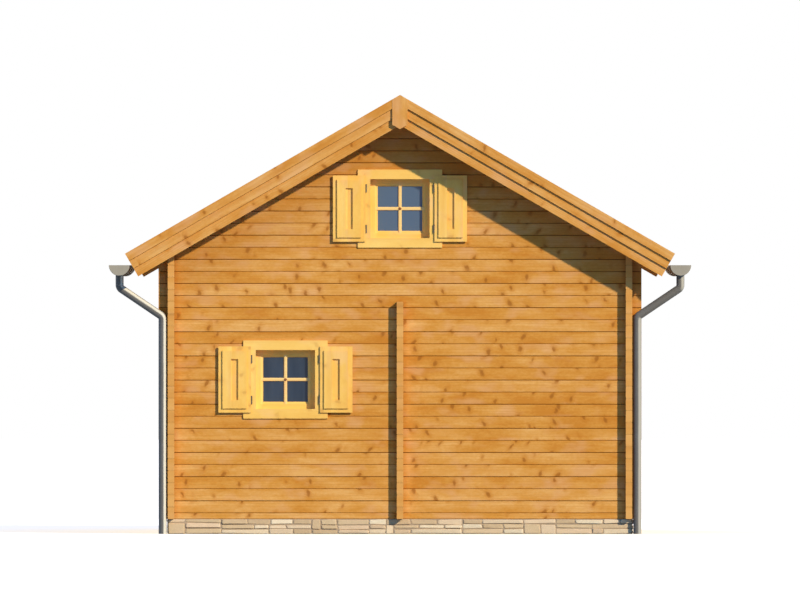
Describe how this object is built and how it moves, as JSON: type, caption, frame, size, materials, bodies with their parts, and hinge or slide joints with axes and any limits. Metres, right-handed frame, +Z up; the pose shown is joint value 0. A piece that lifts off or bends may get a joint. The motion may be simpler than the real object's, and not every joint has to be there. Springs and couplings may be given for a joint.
{
  "type": "holiday cabin",
  "caption": "Log holiday cabin on a stone plinth, with a pitched roof, stepped edge boards, half round gutters, downpipes and hinged window shutters.",
  "frame": {"origin": "on the ground under the middle of the cabin", "axes": "+X to the right of the front gable, +Y from the front gable to the back one, +Z up"},
  "size_m": [6.2674, 6.628, 4.7238],
  "materials": {
    "stone_facing": "rough",
    "wall_log": "satin",
    "floor_wood": "satin",
    "roof_wood": "satin",
    "roof_covering": "matte",
    "edge_wood": "satin",
    "zinc": "satin",
    "joinery_wood": "satin",
    "shutter_wood": "satin",
    "pane_glass": "gloss",
    "hinge_iron": "satin"
  },
  "bodies": {
    "cabin": {"plinth": "stone_facing", "front_wall_logs": "wall_log", "back_wall_logs": "wall_log", "left_wall_logs": "wall_log", "right_wall_logs": "wall_log", "partition_logs": "wall_log", "floor_joists": "floor_wood", "floor_boards": "floor_wood", "loft_bearers": "floor_wood", "loft_joists": "floor_wood", "loft_floor": "floor_wood", "ridge_purlin": "roof_wood", "side_purlins": "roof_wood", "left_roof_boards": "roof_wood", "right_roof_boards": "roof_wood", "left_roof_covering": "roof_covering", "right_roof_covering": "roof_covering", "ridge_cap": "roof_covering", "front_edge_boards": "edge_wood", "front_edge_middles": "edge_wood", "front_edge_strips": "edge_wood", "front_apex_plate": "edge_wood", "back_edge_boards": "edge_wood", "back_edge_middles": "edge_wood", "back_edge_strips": "edge_wood", "back_apex_plate": "edge_wood", "eaves_boards": "edge_wood", "left_gutter": "zinc", "right_gutter": "zinc", "gutter_brackets": "zinc", "left_downpipe": "zinc", "right_downpipe": "zinc", "front_casings": "joinery_wood", "front_window_frames": "joinery_wood", "front_sashes": "joinery_wood", "back_casings": "joinery_wood", "back_window_frames": "joinery_wood", "back_sashes": "joinery_wood", "doorway_lining": "joinery_wood", "door_frame": "joinery_wood", "door_leaf": "joinery_wood", "front_panes": "pane_glass", "back_panes": "pane_glass", "hinge_pins": "hinge_iron", "door_handle": "hinge_iron"},
    "lower_left_shutter_body": {"lower_left_shutter": "shutter_wood", "lower_left_hinges": "hinge_iron"},
    "lower_right_shutter_body": {"lower_right_shutter": "shutter_wood", "lower_right_hinges": "hinge_iron"},
    "upper_left_shutter_body": {"upper_left_shutter": "shutter_wood", "upper_left_hinges": "hinge_iron"},
    "upper_right_shutter_body": {"upper_right_shutter": "shutter_wood", "upper_right_hinges": "hinge_iron"}
  },
  "joints": [
    {"name": "lower_left_shutter_hinge", "type": "hinge", "parent": "cabin", "child": "lower_left_shutter_body", "pos_m": [-1.597, -2.9305, 1.662], "axis": [0, 0, 1], "range_deg": [0, 180]},
    {"name": "lower_right_shutter_hinge", "type": "hinge", "parent": "cabin", "child": "lower_right_shutter_body", "pos_m": [-0.869, -2.9305, 1.662], "axis": [0, 0, -1], "range_deg": [0, 180]},
    {"name": "upper_left_shutter_hinge", "type": "hinge", "parent": "cabin", "child": "upper_left_shutter_body", "pos_m": [-0.364, -2.9305, 3.502], "axis": [0, 0, 1], "range_deg": [0, 180]},
    {"name": "upper_right_shutter_hinge", "type": "hinge", "parent": "cabin", "child": "upper_right_shutter_body", "pos_m": [0.364, -2.9305, 3.502], "axis": [0, 0, -1], "range_deg": [0, 180]}
  ]
}
